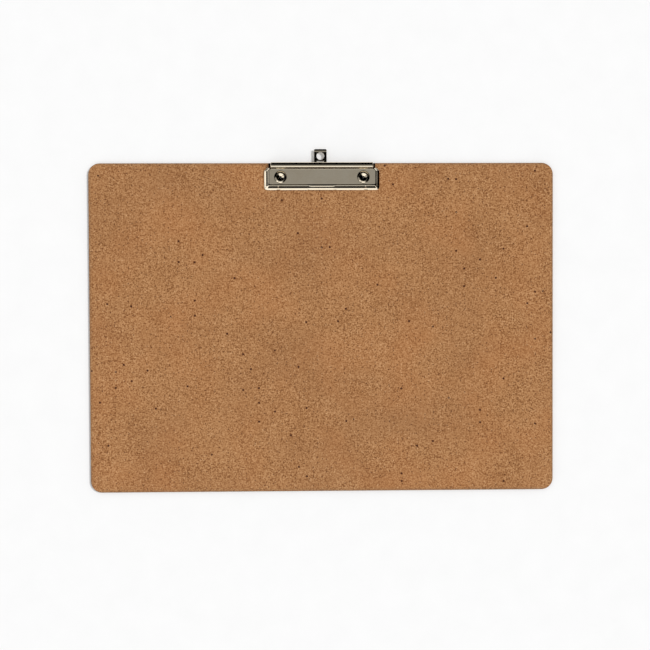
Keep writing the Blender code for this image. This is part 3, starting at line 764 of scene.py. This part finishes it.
def make_base_plate(finish):
    top = GAP + SHEET
    below = [(TAB_X + x, h) for x, h in channel_line(GAP, CHANNEL_BEND)]
    below_left = [(2 * TAB_X - x, h) for x, h in below]
    above = [(TAB_X + x, h) for x, h in channel_line(top, CHANNEL_BEND)]
    above_left = [(2 * TAB_X - x, h) for x, h in above]
    section = [(-BASE_HALF_WIDTH, GAP), *below_left, *below[::-1], (BASE_HALF_WIDTH, GAP)]
    section += [(BASE_HALF_WIDTH, top), *above, *above_left[::-1], (-BASE_HALF_WIDTH, top)]
    outline = [clip_point(x, BASE_BACK_U, h) for x, h in section]
    plate = prism("base_plate_fine", outline, (0, BASE_BACK_U - BASE_FRONT_U, 0))
    tools = []
    for side in (-1, 1):
        x = side * RIVET_SPACING / 2
        tools.append(corner_cutter(side))
        tools.append(upright_rod("cutter", x, RIVET_U, RIVET_HOLE_RADIUS, -MM, 3 * MM))
    for tool in tools:
        boolean(plate, tool, "DIFFERENCE")
    added = [make_stop(), make_ear(-1), make_ear(1)]
    for tool in added:
        boolean(plate, tool, "UNION")
    ends = [clip_point(side * (EAR_INNER_X + 5 * MM), PIN_U, PIN_H) for side in (-1, 1)]
    pin_hole = rod("cutter", PIN_RADIUS + PIN_CLEARANCE, *ends)
    boolean(plate, pin_hole, "DIFFERENCE")
    bake_mesh(plate, 35, [*tools, *added, pin_hole])
    ease_edges(plate)
    bake_mesh(plate, 35)
    finish_piece(plate, "board", "base_plate", finish)


def corner_cutter(side):
    """Takes a front corner off the plate, leaving it rounded."""
    radius = BASE_CORNER_RADIUS
    x, u = BASE_HALF_WIDTH - radius, BASE_FRONT_U - radius
    round_part = [(side * px, pu) for px, pu in arc((x, u), radius, 0, 90, 10)]
    outside = [(side * x, BASE_FRONT_U + MM), (side * (BASE_HALF_WIDTH + MM), BASE_FRONT_U + MM)]
    outside.append((side * (BASE_HALF_WIDTH + MM), u))
    return prism("cutter", [clip_point(px, pu, -MM) for px, pu in round_part + outside], (0, 0, 4 * MM))


def make_ear(side):
    """An upright lug that carries the pin just inside the jaw's end wall."""
    back, front = PIN_U - EAR_RADIUS, PIN_U + EAR_RADIUS
    curve = arc((PIN_U, PIN_H), EAR_RADIUS, 0, 180, 24)
    outline = [clip_point(side * EAR_INNER_X, u, h) for u, h in [(back, GAP), (front, GAP), *curve]]
    return prism("lug", outline, (side * SHEET, 0, 0))


def make_stop():
    """A tongue pressed down from the channel's roof into the tab's slot."""
    outer, inner = stop_u()
    half = STOP_WIDTH / 2
    roof = GAP + CHANNEL_RISE + SHEET / 2
    corners = [(-half, STOP_BOTTOM_H), (half, STOP_BOTTOM_H), (half, roof), (-half, roof)]
    return prism("stop", [clip_point(TAB_X + x, outer, h) for x, h in corners], (0, outer - inner, 0))


# Pin, rivets, springs and tab ---------------------------------------------------------------------


def make_pin(finish):
    half = BARREL_HALF_WIDTH + GAP
    dome = [(PIN_HEAD_RADIUS, 0), (PIN_HEAD_RADIUS, 0.3 * PIN_HEAD_THICKNESS)]
    for i in range(1, 9):
        angle = math.pi / 2 * i / 8
        along = PIN_HEAD_THICKNESS * (0.3 + 0.7 * math.sin(angle))
        dome.append((PIN_HEAD_RADIUS * math.cos(angle) if i < 8 else 0, along))
    right_end = [(PIN_RADIUS, half), *[(radius, half + along) for radius, along in dome]]
    profile = [(radius, -along) for radius, along in reversed(right_end)] + right_end
    centre = clip_point(0, PIN_U, PIN_H)
    pin = bake_mesh(turned("hinge_pin_fine", profile, centre, (1, 0, 0), centre), 35)
    finish_piece(pin, "board", "hinge_pin", finish)


def make_rivet(side, finish):
    """A tubular rivet: dished head on the base plate, rolled tail in the recess of the board's back."""
    seat = GAP + SHEET + GAP
    shoulder = COUNTERBORE_DEPTH - GAP - BOARD_THICKNESS
    tail = rounded(RIVET_TAIL_PROFILE, 2)
    head = [RIVET_HEAD_PROFILE[0], *rounded(RIVET_HEAD_PROFILE[1:], 3)]
    profile = [(radius * MM, height * MM - BOARD_THICKNESS) for radius, height in tail]
    profile += [(RIVET_TAIL_TOP_RADIUS, shoulder)]
    profile += [(RIVET_SHANK_RADIUS, shoulder), (RIVET_SHANK_RADIUS, seat)]
    profile += [(radius * MM, seat + height * MM) for radius, height in head]
    name = "left" if side < 0 else "right"
    base = clip_point(side * RIVET_SPACING / 2, RIVET_U, 0)
    rivet = bake_mesh(turned(f"rivet_{name}_fine", profile, base, (0, 0, 1), base, 64), 40)
    finish_piece(rivet, "board", f"rivet_{name}", finish)


def spring_route(side):
    """Centre line of one spring in the clip frame: lower leg, coil on the pin, upper leg under the jaw."""
    rest_h = GAP + SHEET + SPRING_WIRE_RADIUS + SPRING_LEG_PLAY
    radius = SPRING_COIL_RADIUS
    turn_degrees = 360 * SPRING_TURNS - (SPRING_COIL_END_DEGREES - SPRING_COIL_START_DEGREES)
    steps = round(turn_degrees / 12)
    coil = []
    for i in range(steps + 1):
        angle = math.radians(SPRING_COIL_START_DEGREES - turn_degrees * i / steps)
        x = SPRING_INNER_X + SPRING_PITCH * SPRING_TURNS * i / steps
        coil.append((x, PIN_U + radius * math.cos(angle), PIN_H + radius * math.sin(angle)))
    first = coil[0]
    meet_u = first[1] + (first[2] - rest_h) / math.tan(math.radians(LOWER_LEG_DEGREES))
    lower = [(SPRING_INNER_X, SPRING_LEG_END_U, rest_h), (SPRING_INNER_X, meet_u, rest_h), first]
    down = math.tan(math.radians(90 - SPRING_COIL_END_DEGREES))
    below_panel = SHEET + SPRING_WIRE_RADIUS + SPRING_LEG_PLAY
    clearance = below_panel / math.cos(math.radians(PANEL_SLOPE_DEGREES))
    x, u, h = coil[-1]
    while h > panel_height(u) - clearance:
        u += 0.05 * MM
        h -= 0.05 * MM * down
    upper = [coil[-1], (x, u, h), (x, SPRING_LEG_END_U, panel_height(SPRING_LEG_END_U) - clearance)]
    route = rounded(lower, 2)[:-1] + coil + rounded(upper, 2)[1:]
    return [(side * x, u, h) for x, u, h in route]


def make_spring(side, finish):
    name = "left" if side < 0 else "right"
    curve = bpy.data.curves.new("wire", "CURVE")
    curve.dimensions = "3D"
    curve.bevel_depth = SPRING_WIRE_RADIUS
    curve.bevel_resolution = 3
    curve.use_fill_caps = True
    route = spring_route(side)
    spline = curve.splines.new("POLY")
    spline.points.add(len(route) - 1)
    for point, place in zip(spline.points, route):
        point.co = (*clip_point(*place), 1)
    wire = bpy.data.objects.new("wire", curve)
    bpy.context.scene.collection.objects.link(wire)
    bpy.context.view_layer.update()
    graph = bpy.context.evaluated_depsgraph_get()
    mesh = bpy.data.meshes.new_from_object(wire.evaluated_get(graph))
    bpy.data.objects.remove(wire, do_unlink=True)
    mesh.shade_smooth()
    mesh.set_sharp_from_angle(angle=math.radians(50))
    spring = bpy.data.objects.new(f"torsion_spring_{name}_fine", mesh)
    bpy.context.scene.collection.objects.link(spring)
    finish_piece(spring, None, f"torsion_spring_{name}", finish)
    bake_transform(spring)


def make_tab(finish):
    """A strip with a hanging hole, a slot for the stop and a shallow ridge at its end for a fingernail."""
    low, high = 2 * GAP, 2 * GAP + SHEET
    inner_end = stop_u()[1] + STOP_PLAY + TAB_BAR
    bend_u = TAB_PULL_LENGTH - TAB_REACH
    half = TAB_WIDTH / 2
    ridge_u = TAB_RIDGE_LENGTH - TAB_REACH
    end_drop = TAB_PULL_DROP - TAB_PULL_RISE
    flat_u = bend_u + 0.5 * MM
    top = [(flat_u, high), (bend_u, high)]
    top += [(ridge_u, high + TAB_PULL_RISE), (-TAB_REACH, high - end_drop)]
    bottom = [(-TAB_REACH, low), (ridge_u, low + TAB_PULL_RISE), (bend_u, low), (flat_u, low)]
    section = [(inner_end, low), (inner_end, high), *rounded(top, 3), *rounded(bottom, 3)]
    outline = [clip_point(TAB_X - half, u, h) for u, h in section]
    origin = clip_point(TAB_X, 0, low)
    tab = prism("hanging_tab_fine", outline, (TAB_WIDTH, 0, 0), origin)
    tools = [upright_rod("cutter", TAB_X, -TAB_HOLE_REACH, TAB_HOLE_RADIUS, -MM, 4 * MM)]
    half_slot = TAB_SLOT_WIDTH / 2
    slot_inner = stop_u()[1] + STOP_PLAY
    corners = [(-half_slot, -TAB_SLOT_OUTER_REACH), (half_slot, -TAB_SLOT_OUTER_REACH)]
    corners += [(half_slot, slot_inner), (-half_slot, slot_inner)]
    tools.append(prism("cutter", [clip_point(TAB_X + x, u, -MM) for x, u in corners], (0, 0, 4 * MM)))
    radius = TAB_CORNER_RADIUS
    for side in (-1, 1):
        curve = arc((half - radius, radius - TAB_REACH), radius, 0, -90, 8)
        outside = [(half - radius, -TAB_REACH - MM), (half + MM, -TAB_REACH - MM)]
        outside.append((half + MM, radius - TAB_REACH))
        plan = [clip_point(TAB_X + side * x, u, -MM) for x, u in curve + outside]
        tools.append(prism("cutter", plan, (0, 0, 5 * MM)))
    for tool in tools:
        boolean(tab, tool, "DIFFERENCE")
    bake_mesh(tab, 35, tools)
    ease_edges(tab, 0.12 * MM)
    bake_mesh(tab, 35)
    finish_piece(tab, "tab", "hanging_tab", finish)


# Stage --------------------------------------------------------------------------------------------


def make_floor():
    s = Shader("pale_paper")
    grain = s.noise(40, 3.0, 0.5)
    s.set(Base_Color=s.ramp(grain, [(0.3, 0.86), (0.7, 0.875)]), Roughness=0.9, Specular_IOR_Level=0.1)
    size = FLOOR_HALF_SIZE
    corners = [(-size, -size, 0), (size, -size, 0), (size, size, 0), (-size, size, 0)]
    floor = mesh_object("floor", corners, [(0, 1, 2, 3)])
    floor.location.z = BOARD_LOW.z - FLOOR_DROP
    floor.data.materials.append(s.material)


class WorldShader(Shader):
    def __init__(self):
        world = bpy.data.worlds.new("studio")
        bpy.context.scene.world = world
        world.use_nodes = True
        self.tree = world.node_tree
        self.background = self.tree.nodes["Background"]
        self.place = self.add("ShaderNodeTexCoord").outputs["Generated"]


def make_studio():
    """An even soft light, and, for the metal to reflect, soft boxes and a grey ceiling.

    The boxes stand in front, on the left and in the corner between them. It is dark behind, and between
    the ceiling and the far right.
    """
    s = WorldShader()
    parts = s.add("ShaderNodeSeparateXYZ", {0: s.place}).outputs
    front = s.math("MULTIPLY", parts[1], -1.0)
    left = s.math("MULTIPLY", parts[0], -1.0)
    front_box = s.ramp(front, [(0.57, 0.0), (0.66, 1.0), (0.87, 1.0), (0.92, 0.0)])
    left_box = s.ramp(left, [(0.80, 0.0), (0.87, 1.0), (0.945, 1.0), (0.965, 0.0)])
    corner = s.math("MINIMUM", front, left)
    corner_box = s.ramp(corner, [(0.36, 0.0), (0.44, 1.0), (0.62, 1.0), (0.67, 0.0)])
    boxes = s.math("MAXIMUM", front_box, s.math("MAXIMUM", left_box, corner_box))
    ceiling = s.ramp(s.math("ADD", front, 0.5), [(0.40, 0.0), (0.475, 1.0)])
    not_front = s.ramp(front, [(0.86, 1.0), (0.92, 0.1)])
    not_left = s.ramp(left, [(0.94, 1.0), (0.97, 0.0)])
    not_right = s.ramp(parts[0], [(0.20, 1.0), (0.45, 0.0), (0.98, 0.0), (0.992, 1.0)])
    for share in (not_front, not_left, not_right):
        ceiling = s.math("MULTIPLY", ceiling, share)
    level = s.math("MULTIPLY_ADD", boxes, BOX_LIGHT, s.math("MULTIPLY", ceiling, CEILING_LIGHT))
    paths = s.add("ShaderNodeLightPath").outputs
    even = s.math("MULTIPLY_ADD", left, EVEN_LIGHT_TILT, EVEN_LIGHT)
    level = s.add("ShaderNodeMix", {0: paths["Is Diffuse Ray"], 2: level, 3: even}).outputs[0]
    level = s.add("ShaderNodeMix", {0: paths["Is Camera Ray"], 2: level, 3: BACKDROP_LIGHT}).outputs[0]
    s.feed(s.background.inputs["Strength"], level)
    s.feed(s.background.inputs["Color"], (1, 1, 1, 1))
    bpy.context.scene.world.cycles.sampling_method = "NONE"


def make_key():
    """The key light, from the right and a little behind the clip."""
    lamp = bpy.data.lights.new("key", "SUN")
    lamp.energy = KEY_ENERGY
    lamp.angle = math.radians(KEY_WIDTH_DEGREES)
    key = bpy.data.objects.new("key", lamp)
    key.rotation_euler = Vector(KEY_DIRECTION).to_track_quat("Z", "Y").to_euler()
    key.visible_glossy = False
    bpy.context.scene.collection.objects.link(key)


def make_camera():
    data = bpy.data.cameras.new("camera")
    data.sensor_width = SENSOR_WIDTH
    data.lens = CAMERA_LENS
    data.clip_start = 0.01
    camera = bpy.data.objects.new("camera", data)
    camera.location = CAMERA_PLACE
    camera.rotation_euler = [math.radians(angle) for angle in CAMERA_TURN_DEGREES]
    bpy.context.scene.collection.objects.link(camera)
    bpy.context.scene.camera = camera


def main():
    bpy.context.scene.view_settings.view_transform = "Standard"
    hardboard = make_hardboard()
    nickel = make_nickel()
    spring_steel = make_spring_steel()
    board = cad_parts["board"]
    board.data.materials.clear()
    board.data.materials.append(hardboard)
    make_jaw(nickel)
    make_base_plate(nickel)
    make_pin(nickel)
    make_tab(nickel)
    for side in (-1, 1):
        make_rivet(side, nickel)
        make_spring(side, spring_steel)
    make_floor()
    make_studio()
    make_key()
    make_camera()


main()
